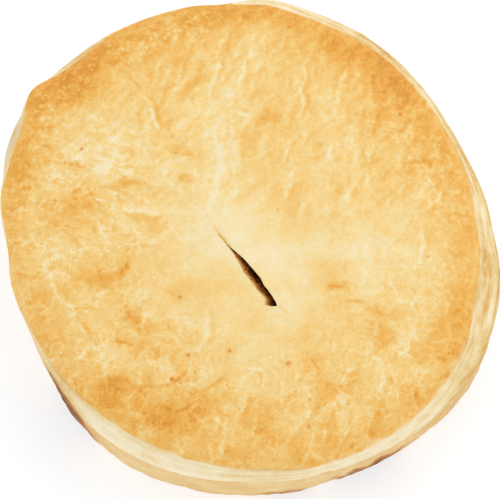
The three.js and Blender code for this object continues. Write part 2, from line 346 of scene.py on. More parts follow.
# Millimetres and degrees, anticlockwise from +X seen from above, as everywhere but in the studio.
outline = {
    "rimRadius": 56.2,
    # How many waves go round, how high they are, where one has its crest.
    "rimWaves": [(1, 0.6, -137), (2, 2.85, -64), (3, 0.3, -8), (4, 1.05, -26), (5, 0.2, 8)],
    # Angle, half width, height.
    "rimLumps": [
        (-175, 9, -0.9), (-163, 6, 0.3), (-154, 9, -0.3), (-79, 5, 0.5), (-29, 4, 0.5), (0, 6, -0.4),
        (46, 32, -0.6), (70, 12, -0.7), (85, 5, 0.5), (96, 5, -0.7), (134, 8, -0.6), (145, 4, 0.4),
        (151, 3, -0.5), (157, 4, -0.3), (166, 5, -0.8),
    ],
    # Angle, how far the browned top stops short of the seam.
    "topInset": [
        (-160, -0.5), (-135, 1.5), (-115, 2.3), (-90, 1.1), (-68, 0.1), (-45, 2.0), (-22, 5.0), (-2, 4.2),
        (25, 2.5), (50, 3.1), (72, 4.0), (88, 3.9), (96, 3.0), (125, 3.3), (138, 3.0), (146, 1.1),
        (150, 1.3), (155, 2.6), (160, 2.4), (168, 1.0), (180, 0.2),
    ],
    # Angle, how far the case's foot stands in from the seam.
    "footInset": [
        (-150, 2.7), (-120, 3.3), (-97, 3.9), (-75, 4.6), (-50, 3.7), (-30, 1.8), (0, 3.2), (60, 4.4),
        (120, 4.4), (180, 3.6),
    ],
}
heights = {
    "seam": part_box("base_crust")[1].z / mm,
    "underLid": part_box("lid")[0].z / mm,
    "shoulder": 27.6,
    "crown": 31.6,
    "fillingTop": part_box("filling")[1].z / mm,
    "fillingFoot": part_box("filling")[0].z / mm,
}

topInsetAt = closedCurve(outline["topInset"])
footInsetAt = closedCurve(outline["footInset"])


def rimAt(angle):
    waves = sum(height * np.cos(np.radians(count * (angle - crest)))
                for count, height, crest in outline["rimWaves"])
    return outline["rimRadius"] + waves + stretches(angle, outline["rimLumps"])


def lidEdgeAt(angle):
    return rimAt(angle) - topInsetAt(angle)


def arcAt(angle):  # the way round the rim
    return np.radians(angle) * outline["rimRadius"]


puffedLid = {
    "cells": 250,
    "sideRows": 24,
    "domePower": 2.5,
    "edgeRoll": 0.9,
    "swell": 0.34,
    "streak": {"lean": 72, "across": 5.6, "along": 16},
    "leftStreak": {"lean": -17, "across": 4.6, "along": 14},
    "streakHeight": 0.26,
    "pillow": {"size": 6.6, "height": 0.26},
    "crestHeight": 0.5,
    # How far it laps over the case, its lip there, its inner wall and the gap over the filling.
    "under": {"lap": 0.25, "lip": 0.8, "wall": 4.2, "gap": 0.2},
    # Angle, half width, how many blisters; then how far in from the edge they reach.
    "bubblyAt": [(138, 28, 1.0), (104, 14, 0.85), (12, 24, 0.7), (-22, 16, 0.35)],
    "bubblyReach": 13,
    "slit": {
        "from": (-6.4, -4.4), "to": (6.1, -21.4), "calmAt": (2, -12),  # the middle of the calmer top round it
        # Share of the way, then how far it opens to the front and to the rear of the line between the ends.
        "opening": [
            (0.0, 0.05, 0.05), (0.10, 0.06, 0.07), (0.18, 0.09, 0.20), (0.28, 0.18, 0.68), (0.39, 0.55, 1.10),
            (0.53, 1.15, 1.18), (0.66, 1.22, 1.18), (0.74, 1.22, 0.75), (0.80, 1.15, 0.75),
            (0.87, 1.30, 0.68), (0.91, 2.10, 0.58), (0.96, 1.30, 0.42), (1.0, 0.10, 0.06),
        ],
        "lean": 0.65, "lipRise": 0.75, "lipReach": 4.5, "columns": 80, "rows": 24,
    },
    # Thin creases with painted shade in them: from, to, bend to the left, width, how dark.
    "creases": [
        ((-13.0, -35.8), (-19.2, -39.5), 0.5, 0.50, 0.40), ((-19.0, -39.5), (-24.4, -39.3), -0.3, 0.40, 0.30),
        ((-4.2, -36.1), (-12.3, -41.2), 0.7, 0.60, 0.42), ((-10.2, -42.1), (-15.7, -45.0), 0.2, 0.50, 0.42),
        ((-29.8, -28.8), (-24.6, -30.0), 0.3, 0.45, 0.42), ((20.6, -19.9), (25.8, -20.2), 0.2, 0.50, 0.34),
        ((17.6, -16.7), (21.0, -16.9), 0.2, 0.45, 0.26), ((-26.7, 34.8), (-23.3, 30.4), 0.2, 0.45, 0.30),
        ((-40.6, 13.8), (-36.0, 11.9), 0.2, 0.45, 0.34), ((-46.0, 18.4), (-42.4, 16.0), 0.4, 0.45, 0.26),
        ((33.2, 12.3), (39.2, 13.7), 0.8, 0.55, 0.32), ((17.4, 15.8), (14.3, 13.3), 0.2, 0.55, 0.20),
        ((4.5, 43.4), (3.9, 40.2), 0.0, 0.45, 0.26), ((15.1, -35.8), (13.4, -33.4), 0.0, 0.45, 0.30),
        ((26.6, -21.4), (29.8, -23.3), 0.2, 0.50, 0.26), ((22.6, -51.2), (21.4, -52.7), 0.2, 0.55, 0.42),
        ((-17.9, 15.8), (-12.4, 14.5), -0.3, 0.40, 0.22), ((43.4, -34.2), (42.1, -36.2), 0.0, 0.70, 0.40),
        ((-26.1, -9.6), (-28.2, -14.4), 0.5, 0.60, 0.24), ((-2.7, -34.1), (-1.2, -34.3), 0.0, 0.40, 0.28),
        ((6.1, -21.5), (8.8, -23.6), 0.3, 0.40, 0.20), ((-20.0, -16.8), (-15.2, -18.9), 0.2, 0.35, 0.18),
        ((-7.8, -2.6), (-3.4, -8.5), 0.0, 0.42, 0.40),
    ],
    # Pale crests of torn flakes, partly a painted highlight, each with painted shade beside it: half width,
    # how pale, the route.
    "crests": [
        (0.8, 0.26, (-4.6, 48.5), (-7.0, 39.7), (-8.9, 26.4)),
        (0.8, 0.22, (0.3, 41.5), (-1.5, 34.5), (-2.6, 28.1)),
        (1.0, 0.16, (-15.2, 38.0), (-15.6, 32.6), (-16.7, 27.5)), (0.9, 0.26, (-3.0, 25.6), (-0.3, 23.8)),
        (0.6, 0.28, (-23.3, 30.2), (-21.5, 25.9), (-19.9, 21.6), (-17.7, 19.0)),
        (0.8, 0.24, (-40.3, 14.8), (-36.5, 14.0)), (1.6, 0.20, (-34.5, 12.8), (-31.5, 11.2)),
        (0.65, 0.26, (-33.9, 4.7), (-30.6, 4.0)), (0.9, 0.22, (-30.2, 1.2), (-23.6, 1.4), (-18.2, 0.6)),
        (0.6, 0.28, (13.2, 39.8), (12.0, 33.8), (12.0, 30.0), (11.1, 22.4)),
        (0.7, 0.20, (22.5, 38.0), (20.9, 34.0), (18.3, 23.3)), (1.0, 0.26, (26.8, 26.6), (26.0, 22.8)),
        (0.7, 0.24, (26.6, 17.3), (25.9, 11.9), (26.1, 9.4)), (0.9, 0.24, (21.7, 6.9), (21.7, 3.8)),
        (0.8, 0.18, (9.1, 18.9), (8.0, 14.5), (6.4, 11.3)),
        (0.7, 0.26, (40.9, 13.5), (39.7, 10.0), (40.1, 6.4)),
        (0.8, 0.26, (42.3, 7.7), (41.8, 5.0), (39.1, 3.7), (38.4, 0.8)),
        (0.6, 0.24, (-22.7, -22.6), (-22.9, -27.1)), (0.7, 0.26, (-37.4, -24.3), (-34.6, -27.9)),
        (0.7, 0.24, (-37.7, -32.6), (-34.0, -30.5), (-31.3, -30.0)),
        (1.2, 0.26, (-22.2, -32.7), (-19.0, -34.8)), (0.8, 0.22, (-25.4, -38.0), (-21.1, -38.7)),
        (0.8, 0.26, (-0.3, -40.5), (-1.8, -44.0), (-3.3, -47.1)), (0.6, 0.28, (-7.2, -44.4), (-6.7, -49.4)),
        (0.9, 0.30, (-5.4, -51.6), (-5.7, -54.8)), (0.8, 0.18, (-9.0, -21.0), (-8.9, -27.4), (-10.4, -31.8)),
        (1.1, 0.24, (-44.8, -9.5), (-41.9, -17.1), (-38.1, -22.0), (-38.0, -25.9)),
        (0.8, 0.22, (17.6, -17.9), (20.4, -17.8)), (0.8, 0.22, (14.7, -26.2), (14.9, -30.4)),
        (0.8, 0.18, (10.6, -34.5), (9.9, -39.6)), (0.6, 0.28, (34.7, -27.8), (33.2, -31.0), (30.8, -32.0)),
        (0.55, 0.28, (33.2, -31.0), (36.2, -33.1)), (0.8, 0.22, (28.6, -35.2), (28.8, -38.1), (27.5, -41.2)),
        (0.6, 0.24, (18.5, -42.7), (17.4, -45.8)), (0.7, 0.26, (13.8, -43.9), (11.4, -47.2), (10.5, -49.4)),
        (0.8, 0.26, (16.3, -46.9), (15.9, -52.3)), (0.6, 0.24, (21.7, -47.0), (20.2, -50.3), (19.7, -52.3)),
        (0.7, 0.24, (24.4, -48.9), (26.0, -46.9)), (0.9, 0.30, (32.9, -42.7), (34.6, -40.9), (36.1, -43.2)),
        (0.6, 0.22, (9.4, 11.7), (9.0, 6.8), (6.8, 2.4)),
        (0.6, 0.20, (18.0, 17.5), (17.5, 15.0), (18.5, 12.2)), (0.8, 0.28, (21.7, 36.6), (20.9, 33.1)),
        (0.7, 0.24, (27.5, 26.1), (27.3, 22.7), (25.9, 17.7), (25.9, 13.2)),
        (0.6, 0.22, (30.0, 20.3), (27.4, 18.4), (26.8, 15.3)),
        (0.6, 0.22, (26.2, 12.8), (26.2, 9.5), (25.0, 6.7)),
        (0.6, 0.18, (25.0, 3.1), (24.6, -0.5)), (0.6, 0.18, (12.7, 3.7), (11.9, -0.7)),
        (0.8, 0.22, (37.3, -0.5), (38.0, -5.6), (36.0, -13.0)), (0.7, 0.24, (42.2, 7.8), (41.4, 4.1)),
        (0.9, 0.20, (-3.4, 23.1), (-4.4, 16.9)), (0.8, 0.18, (-26.2, 3.1), (-22.2, 1.4), (-18.2, 0.5)),
        (1.1, 0.16, (-5.2, 13.3), (-7.7, 4.8), (-10.2, -0.7)), (1.3, 0.20, (-30.4, 14.6), (-31.8, 10.1)),
        (0.6, 0.20, (-12.4, 11.7), (-12.1, 9.3)), (0.6, 0.18, (-17.5, 11.4), (-18.6, 9.3)),
    ],
    # Share of the way down where a layer's edge is, how far it stands out, how uneven it is.
    "sideLayers": [
        (0.06, 0.25, 0.10), (0.24, -0.20, 0.10), (0.38, 0.30, 0.35), (0.52, -0.15, 0.35),
        (0.66, 0.30, 0.35), (0.80, -0.05, 0.25), (0.93, 0.25, 0.15),
    ],
    "side": {  # each stretch is an angle, a half width and an amount
        "torn": [(-30, 36, 0.8), (60, 36, 0.9)],  # how uneven the layers are
        "upright": [(117, 22, 1.0)],  # where the side drops straight down first
        "step": {"at": -72, "depth": 0.35},
        "plain": 0.12,
        "tan": [(58, 34, 0.46), (18, 14, 0.42), (-12, 14, 0.34), (-34, 16, 0.30), (-138, 8, 0.40),
                (157, 8, 0.30), (130, 8, 0.50)],
        # Painted shade just under the rolled browned edge, where the side turns from the light.
        "tanUnderEdge": [(-132, 36, 0.42), (-174, 14, 0.50), (-84, 10, 0.34), (20, 60, 0.15)],
        "tanAtSeam": [(15, 42, 0.28), (-40, 20, 0.15), (-138, 8, 0.80), (160, 30, 0.3)],
        "thinLine": [(-81, 9, 0.5), (-30, 14, 0.6)],
        "yellow": [(-86, 11, 0.26), (-113, 5, 0.12), (-158, 13, 0.34)],
        "layered": [(-27, 25, 1.0), (8, 18, 0.75), (60, 35, 0.95), (-110, 60, 0.25)],
        "grey": [(157, 9, 0.5)],
    },
    # Angle, how far over the edge and down the browning runs.
    "brownReach": [
        (-160, 1.0), (-130, 0.5), (-100, 0.4), (-60, 0.4), (-20, 0.5), (20, 0.6), (60, 0.5), (88, 0.6),
        (93, 4.0), (97, 12.0), (122, 12.0), (127, 3.0), (131, 1.2), (137, 1.4), (142, 3.0), (149, 2.6),
        (153, 0.8), (175, 1.0),
    ],
    "browning": {"middle": 0.30, "edge": 0.20, "rear": 0.07, "uneven": 0.07},
    # How the relief changes the top's colour: raised pillows brown more, fold ridges are paler, partly a
    # painted highlight, and the two sides of each fold get painted light and shade.
    "browningByRelief": {"pillow": 0.05, "flank": -0.11, "streak": -0.05, "bubbly": 0.14},
    # Browned and pale places on the top: x, y, reach along, reach across, turn, how much more browned.
    "patches": [
        (-39, 35, 13, 6, 42, 0.5), (-4, 52, 16, 4, 5, 0.28), (27, 41, 11, 6, -38, 0.36),
        (34, 31, 7, 5, -50, 0.22), (-32, 8, 6, 5, 0, 0.12), (-31, -14, 7, 7, 0, 0.1), (32, 9, 6, 5, 0, 0.08),
        (-10, -5, 8, 6, 0, -0.08), (31, -20, 8, 4, 0, -0.09), (15, -36, 9, 7, 0, 0.09),
        (-3, -50, 9, 4, 0, -0.12), (11, 40, 5, 6, 0, 0.1), (0, -12, 11, 5, -54, -0.1),
        (-40, 1, 5, 5, 0, 0.12), (19, 0, 5, 6, 0, -0.08), (41, 17, 9, 5, -60, 0.22), (44, -27, 4, 9, 0, 0.26),
        (27, -47, 10, 5, 30, 0.12), (0, -51, 14, 5, 0, 0.2), (-17, -45, 12, 5, -25, 0.34),
        (-30, -40, 6, 5, -40, 0.16), (-44, -21, 4, 8, 25, 0.22), (-51, 12, 4, 9, 0, 0.32),
        (-39, 2, 7, 4, 0, 0.24), (-33, -15, 7, 4, 10, 0.16), (-21, -28, 7, 6, 0, 0.1),
        (28, -22, 8, 5, 0, 0.18), (18, -15, 5, 3, -30, 0.18), (-11, -17, 6, 3, 0, 0.14),
        (6, 17, 5, 9, -8, 0.16), (-17, 31, 6, 5, 0, 0.14), (-31, 14, 6, 5, 0, -0.16),
        (-6, 12, 4, 9, 10, -0.16), (-4, 0, 7, 7, 0, -0.16), (-8, -10, 7, 5, 0, -0.14),
        (9, -10, 8, 6, -20, -0.2), (9, -22, 5, 4, 0, -0.18), (26, -9, 10, 6, 0, -0.16),
        (18, 30, 7, 7, 0, -0.12), (-28, 25, 6, 5, 0, -0.1), (-8, 28, 6, 7, 0, -0.12),
        (2, 42, 3, 10, -8, -0.12), (-43, -12, 4, 4, 0, -0.14), (38, 4, 4, 6, 0, -0.1),
        (-9, -24, 6, 5, 0, -0.1), (2, -34, 5, 6, 0, -0.08), (6, 51, 9, 4, 0, 0.22), (21, 39, 10, 5, -20, 0.2),
        (-14, 40, 8, 5, 10, 0.16), (24, 29, 8, 5, 0, 0.16), (-31, 29, 6, 4, 0, 0.16), (31, 20, 6, 5, 0, 0.18),
        (40, 10, 10, 6, 0, 0.15), (46, -1, 8, 6, 0, 0.16), (-30, -10, 5, 4, 0, 0.12),
        (-10, 0, 5, 4, 0, -0.12), (-49, -18, 4, 5, 0, -0.12), (50, -21, 4, 8, 0, 0.2),
        (15, -40, 13, 5, 0, 0.14), (-39, -40, 5, 4, 0, 0.16), (-10, -40, 5, 4, 0, 0.1),
        (-8, -51, 6, 3, 0, -0.12), (-14, -39, 9, 4, 0, 0.1), (-30, -28, 6, 5, 0, 0.1),
        (20, -26, 6, 4, 0, 0.12), (-3, 25, 7, 11, 0, -0.09), (10, 14, 5, 5, 0, -0.08),
        (40, 13, 6, 5, 0, -0.09), (0, 46, 5, 3, 0, 0.08),
    ],
    # Golden flakes with clear edges, in the same way.
    "goldenFlakes": [
        (10.5, 4, 6.5, 2, 74, 0.18), (15.5, 17.5, 6.5, 2, 62, 0.14), (19.8, 4.5, 6, 1.7, 78, 0.13),
        (4.5, 23.4, 4.8, 1.8, 5, 0.17), (35.6, 12.4, 4.6, 1.4, 8, 0.2), (-33, -14.4, 3.8, 2, -5, 0.24),
        (-27, -11.2, 3.6, 1.4, 70, 0.18), (-24.4, -23.4, 3, 2, -60, 0.28), (-18.8, -26, 4.2, 1.9, 0, 0.18),
        (-23.6, -30.6, 2.9, 1.2, 68, 0.22), (-29.5, -40, 4.2, 2.8, 10, 0.24), (-19.5, -45, 3.2, 3.2, 0, 0.22),
        (-9.3, -45.3, 3.4, 2.6, 20, 0.2), (-5.5, -41.5, 4.6, 2.1, 15, 0.16), (-19.2, -2, 2.8, 1.3, 0, 0.2),
        (-13.7, 8.9, 2.6, 1.2, 15, 0.18), (-28, 8.2, 4.2, 1.5, 0, 0.18), (20, -16.2, 2.8, 1.3, 0, 0.22),
        (28, -27.5, 3.4, 1.3, -45, 0.24), (38.4, -30.8, 3.4, 2.8, 0, 0.2), (2.4, -47.5, 4.2, 2.8, 0, 0.15),
        (-3.5, -31.8, 3.4, 1.1, 65, 0.13), (-15, 15, 3.2, 1, -8, 0.14), (-19.6, 24.5, 3.2, 1.4, -60, 0.17),
        (13.9, 28.2, 4.5, 1.6, 75, 0.12), (27.4, 19.4, 3, 1, 70, 0.14), (28.4, 12, 4, 1.4, 80, 0.12),
        (1, 28.9, 3, 1, 40, 0.14), (-1.2, 16.5, 3.5, 1.2, 75, 0.12), (29.7, 24.9, 4, 1.6, 80, 0.14),
        (34.2, 11.5, 4, 1.2, 85, 0.12), (18.1, 41.2, 3, 1.6, 75, 0.14), (17.7, -0.1, 2.6, 0.8, 10, 0.16),
        (-10.7, 32.8, 5, 1.4, 45, 0.12), (-28.1, 8, 4, 1.8, 5, 0.1), (-39.1, 12.9, 3.6, 0.9, -20, 0.16),
        (-14.3, 8.9, 2.6, 1, 0, 0.12), (-20, -2.2, 2.6, 1.6, 0, 0.1), (-0.1, 15, 6, 1.6, 80, 0.1),
        (-0.8, 4.8, 4, 1.6, 60, 0.12), (-23.9, 24.3, 3.6, 1, 85, 0.12),
    ],
    "pinholes": [  # x, y, radius, how dark
        (-36.6, 16.7, 0.50, 0.7), (-14.8, -19.2, 0.38, 0.7), (-13.0, -32.3, 0.40, 0.7),
        (-16.4, -37.6, 0.42, 1.0), (-13.0, -37.8, 0.34, 0.6), (-17.2, -44.1, 0.42, 0.8),
        (-22.3, -45.0, 0.34, 0.5), (-4.0, -31.5, 0.38, 0.7), (8.5, -34.4, 0.62, 0.6),
        (13.1, -42.4, 0.34, 0.6), (21.3, -43.1, 0.36, 0.5), (12.9, -48.2, 0.50, 0.6),
        (38.9, -8.9, 0.36, 0.5), (33.4, 25.5, 0.44, 0.8), (6.4, 1.3, 0.40, 0.4), (31.5, 34.5, 0.38, 0.5),
        (9.0, 47.2, 0.44, 0.5), (-12.0, -34.2, 0.26, 0.5), (-11.4, -36.0, 0.26, 0.5),
        (-14.6, -38.6, 0.28, 0.5), (-12.6, -37.0, 0.24, 0.4), (29.0, 38.4, 0.34, 0.4),
    ],
    # From here on the finish. A width is a share of a flake.
    "push": [(5.0, 1.8), (1.8, 0.7)],  # size and reach of the unevenness that bends every line
    "main": {"lean": 68, "stretch": 1.5, "soft": 0.24, "fineShare": 0.7,
             "wide": {"size": 4.4, "width": 0.11, "patch": 6.0, "from": 0.40, "to": 0.62},
             "fine": {"size": 2.2, "width": 0.16, "patch": 5.0, "from": 0.44, "to": 0.64}},
    "left": {"lean": -20, "stretch": 1.4, "soft": 0.24, "fineShare": 0.9,
             "wide": {"size": 3.2, "width": 0.12, "patch": 6.0, "from": 0.40, "to": 0.64},
             "fine": {"size": 1.8, "width": 0.16, "patch": 4.0, "from": 0.44, "to": 0.64}},
    "curl": {"size": 2.5, "width": 0.050, "pale": 0.30, "dark": 0.28, "patch": 4.5, "from": 0.40, "to": 0.56},
    # The small folds here are only painted light and shade in the colour.
    "fold": {"lean": 66, "stretch": 1.7, "size": 3.6, "reach": 0.40},
    "leftFold": {"lean": -20, "stretch": 1.7, "size": 2.8, "reach": 0.36},
    "bubble": {"size": 1.6, "least": 0.12, "spread": 0.40, "uneven": 3.2},
    "foldAmount": 0.9, "crestShade": 0.6, "netAmount": 0.26, "flakeAmount": 0.34, "bubbleAmount": 0.34,
    "mottle": [(3.0, 0.34), (1.2, 0.46), (0.5, 0.44)],  # size of the lumps, how much they change the browning
    "deepest": 1.08,
    "roughness": 0.55, "gloss": 0.25, "bump": 0.35,
    "softness": 0.08, "softReach": (1.0, 0.55, 0.25),
    "crustTones": [  # from barely baked to deep brown, for browning from 0 to 1.25; painted shade and highlights ride on the same scale
        (0.0, tone(246, 232, 192)), (0.11, tone(246, 224, 168)), (0.22, tone(246, 214, 144)),
        (0.36, tone(243, 202, 122)), (0.48, tone(241, 190, 102)), (0.60, tone(238, 179, 84)),
        (0.72, tone(232, 166, 68)), (0.84, tone(222, 150, 56)), (1.0, tone(184, 112, 44)),
    ],
    "sideTones": [  # for the same browning, painted shade included, on the torn side
        (0.0, tone(254, 243, 214)), (0.2, tone(248, 231, 190)), (0.4, tone(238, 211, 154)),
        (0.6, tone(226, 186, 112)), (0.8, tone(206, 152, 78)), (1.0, tone(156, 102, 46)),
    ],
    "cutTones": [  # down the slit's wall: caramel pastry at the lip, then painted shade darkening it to near black deeper in
        (0.0, tone(244, 204, 124)), (0.12, tone(234, 178, 98)), (0.30, tone(208, 146, 72)),
        (0.46, tone(136, 80, 34)), (0.64, tone(44, 20, 8)),
    ],
    "greyTone": tone(216, 192, 146), "holeTone": tone(214, 128, 40),
}

brownReachAt = closedCurve(puffedLid["brownReach"])


def streaky(x, y, look, seed, reach):  # sharp long folds, seen from a little way off across them
    turn = math.radians(look["lean"])
    across = x * math.sin(turn) - y * math.cos(turn) + 3.2 * clouds(x, y, 13, seed + 5) + reach
    along = x * math.cos(turn) + y * math.sin(turn)
    wave = clouds(across, along * look["across"] / look["along"], look["across"], seed, 2, 0.4)
    return np.clip(1 - 1.8 * np.abs(wave), 0, 1) ** 1.2 - 0.35


def crestMarks(x, y):  # across the nearest crest, in its own widths, and how pale it is there
    x, y = x + 0.8 * cloud(x, y, 3.2, 181), y + 0.8 * cloud(x, y, 3.2, 187)
    nearest = np.full_like(x, 99.0)
    across, pale = np.zeros_like(x), np.zeros_like(x)
    for width, paleness, *route in puffedLid["crests"]:
        distance, along, side = besideRoute(route, x, y)
        taper = np.clip(np.sin(math.pi * along), 0, 1) ** 0.5
        own = distance / (width * (0.5 + 0.4 * taper))
        closer = distance < nearest
        across = np.where(closer, own * side, across)
        pale = np.where(closer, paleness * taper * smooth(own, 5, 3.4), pale)
        nearest = np.minimum(nearest, distance)
    return np.clip(across, -7, 7), pale


def creaseMarks(x, y):  # across the nearest crease, in its own widths, and how dark its painted shade is there
    nearest = np.full_like(x, 99.0)
    across, dark = np.zeros_like(x), np.zeros_like(x)
    for start, end, bend, width, darkness in puffedLid["creases"]:
        share, left, distance = besideStroke(start, end, bend, x, y)
        closer = distance < nearest
        fade = np.clip(np.sin(math.pi * np.clip(share, 0, 1)), 0, 1) ** 0.6 * smooth(distance / width, 4, 2.5)
        across = np.where(closer, left / width, across)
        dark = np.where(closer, darkness * fade, dark)
        nearest = np.minimum(nearest, distance)
    return np.clip(across, -6, 6), dark


def holeOffsets(x, y):  # from the nearest pinhole, in its own radius, and how dark it is
    nearest = np.full_like(x, 99.0)
    offset = np.zeros((len(x), 3))
    for atX, atY, radius, darkness in puffedLid["pinholes"]:
        distance = np.hypot(x - atX, y - atY)
        strength = darkness * smooth(distance / radius, 3.2, 2.2)
        own = np.column_stack([(x - atX) / radius, (y - atY) / radius, strength])
        offset = np.where((distance < nearest)[:, None], own, offset)
        nearest = np.minimum(nearest, distance)
    return offset


def aroundSlit(x, y):  # the way from the middle of the calmer top round the slit
    atX, atY = puffedLid["slit"]["calmAt"]
    return np.hypot(x - atX, y - atY)


def lidFeatures(x, y, share):
    found = {}
    rear = smooth(y, -14, 10)
    left = smooth(-x, 8, 26) * bell(y - 3, 20)
    folds = [rear * (1 - 0.8 * left) * streaky(x, y, puffedLid["streak"], 61, reach)
             + left * streaky(x, y, puffedLid["leftStreak"], 71, reach) for reach in (0, -0.6, 0.6)]
    found["streak"] = folds[0]
    # Painted light and shade: the folds looked at a little to either side, so one side of each fold is drawn
    # paler and the other browner.
    found["flank"] = folds[2] - folds[1]
    lumpy = 1 - 0.75 * rear * smooth(share, 0.95, 0.6) - 0.6 * bell(aroundSlit(x, y), 13)
    warpX = x + 2.2 * clouds(x, y, 9, 31, 2)
    warpY = y + 2.2 * clouds(x, y, 9, 43, 2)
    _, room, own = blisterCells(warpX, warpY, puffedLid["pillow"]["size"], 7)
    found["pillow"] = np.clip(lumpy, 0, 1) * smooth(room, 0, 0.4) * (0.25 + 0.75 * own)
    angle = planAngle(x, y)
    inward = (1 - share) * lidEdgeAt(angle)
    around = 0.12 + stretches(angle, puffedLid["bubblyAt"])
    patchy = smooth(cloud(x, y, 8, 97) + 0.5 * cloud(x, y, 3, 98), -0.6, 0.1)
    nearEdge = smooth(inward, puffedLid["bubblyReach"], 5) * smooth(inward, 0.6, 2)
    found["bubbly"] = np.clip(around, 0, 1) * patchy * nearEdge
    found["crease"] = sum(0.5 * dark * bell(besideStroke(start, end, bend, x, y)[2], 1.4 * width)
                          for start, end, bend, width, dark in puffedLid["creases"])
    found["crestAcross"], found["crestPale"] = crestMarks(x, y)
    return found


def lidTopAt(x, y):
    share = np.minimum(1, np.hypot(x, y) / lidEdgeAt(planAngle(x, y)))
    rise = heights["crown"] - heights["shoulder"]
    dome = heights["shoulder"] + rise * (1 - share ** puffedLid["domePower"])
    roll = puffedLid["edgeRoll"] * smooth(share, 0.93, 1) ** 2
    found = lidFeatures(x, y, share)
    relief = (puffedLid["swell"] * clouds(x, y, 22, 3, 2)
              + puffedLid["streakHeight"] * found["streak"]
              + puffedLid["pillow"]["height"] * found["pillow"]
              + puffedLid["crestHeight"] * found["crestPale"] * bell(found["crestAcross"], 1.2)
              - found["crease"] + 0.03 * cloud(x, y, 1.3, 201))
    slit = puffedLid["slit"]
    _, leftOf, distance = besideStroke(slit["from"], slit["to"], 0, x, y)
    lip = slit["lipRise"] * bell(distance, slit["lipReach"]) * (0.25 + 0.75 * smooth(leftOf, -1.5, 1.5))
    return dome - roll + relief * (1 - 0.5 * share ** 6) + lip


def sideOut(angle, down):  # how far the lid's side stands out, from its browned edge down to the seam
    side = puffedLid["side"]
    torn = 0.35 + 0.65 * np.clip(stretches(angle, side["torn"]), 0, 1)
    arc = arcAt(angle)
    upright = stretches(angle, side["upright"])
    slope = (1 - upright) * smooth(down, 0.10, 0.80) + upright * smooth(down, 0.45, 1.0)
    stands = 0.0
    for number, (at, out, uneven) in enumerate(puffedLid["sideLayers"]):
        here = at + 0.05 * cloud(arc, arc * 0, 14, 300 + number)
        amount = out + uneven * torn * 0.9 * cloud(arc, arc * 0 + 3.5, 8, 320 + number)
        stands = stands + amount * bell(down - here, 0.07)
    stands = stands * (0.5 + 0.5 * torn) * (1 - upright)
    pastStep = angleBetween(angle, side["step"]["at"])
    recess = side["step"]["depth"] * smooth(pastStep, 0.3, -0.3) * smooth(pastStep, -34, -12)
    crumb = 0.10 * torn * cloud(arc * 0.35, down * 9, 1, 340) + 0.05 * cloud(arc, down * 5, 1.1, 350)
    return slope * topInsetAt(angle) + stands + crumb - recess * smooth(down, 0.05, 0.2)


def sideBaking(angle, down):  # from pale dough to brown, on the lid's side, with painted shade under the browned edge
    side = puffedLid["side"]
    arc = arcAt(angle)
    bake = side["plain"] + stretches(angle, side["tan"])
    # painted shade under the rolled edge, fading down the side
    bake += stretches(angle, side["tanUnderEdge"]) * smooth(down, 0.45, 0.02)
    pastStep = angleBetween(angle, side["step"]["at"])
    bake += stretches(angle, side["yellow"]) * np.where(pastStep > 0, 0.15, 1.0)
    seamward = smooth(down + 0.1 * cloud(arc, arc * 0, 5, 361), 0.55, 0.85)
    bake += stretches(angle, side["tanAtSeam"]) * seamward
    thinLine = bell(down - 0.10 - 0.04 * cloud(arc, arc * 0, 4, 363), 0.05)
    bake += stretches(angle, side["thinLine"]) * thinLine
    layers = cloud(arc * 0.07 + 0.4 * cloud(arc, down * 7, 9, 365), down * 9, 1, 367)
    bake += 0.42 * stretches(angle, side["layered"]) * layers
    bake += 0.10 * clouds(arc, down * 7, 3, 369)
    return bake


def makeLid():
    x, y, quads, border = roundGrid(puffedLid["cells"])
    angle = planAngle(x, y)
    edge = lidEdgeAt(angle)
    x, y = x * edge, y * edge
    top = np.stack([x, y, lidTopAt(x, y)], -1)
    around = angle[border]
    rimTop = top[border, 2]
    under = puffedLid["under"]
    seam = heights["seam"] - under["lap"]
    rings = []
    for row in range(1, puffedLid["sideRows"] + 1):
        down = row / puffedLid["sideRows"]
        rings.append((lidEdgeAt(around) + sideOut(around, down), rimTop * (1 - down) + seam * down))
    rise = heights["fillingTop"] - heights["seam"] + under["gap"]
    inner = rimAt(around) - under["wall"]
    rings += [(rimAt(around) - under["lip"], seam), (inner, heights["underLid"])]
    for share in (0.8, 0.55, 0.28):  # the hollow over the filling
        rings.append((inner * share, heights["underLid"] + rise * (1 - share ** 2)))
    points = [top]
    faces = quads.tolist()
    last = addRings(points, faces, border, around, rings)
    closeRing(points, faces, last, heights["underLid"] + rise)
    return makeObject("puffedLid", np.concatenate(points), faces)


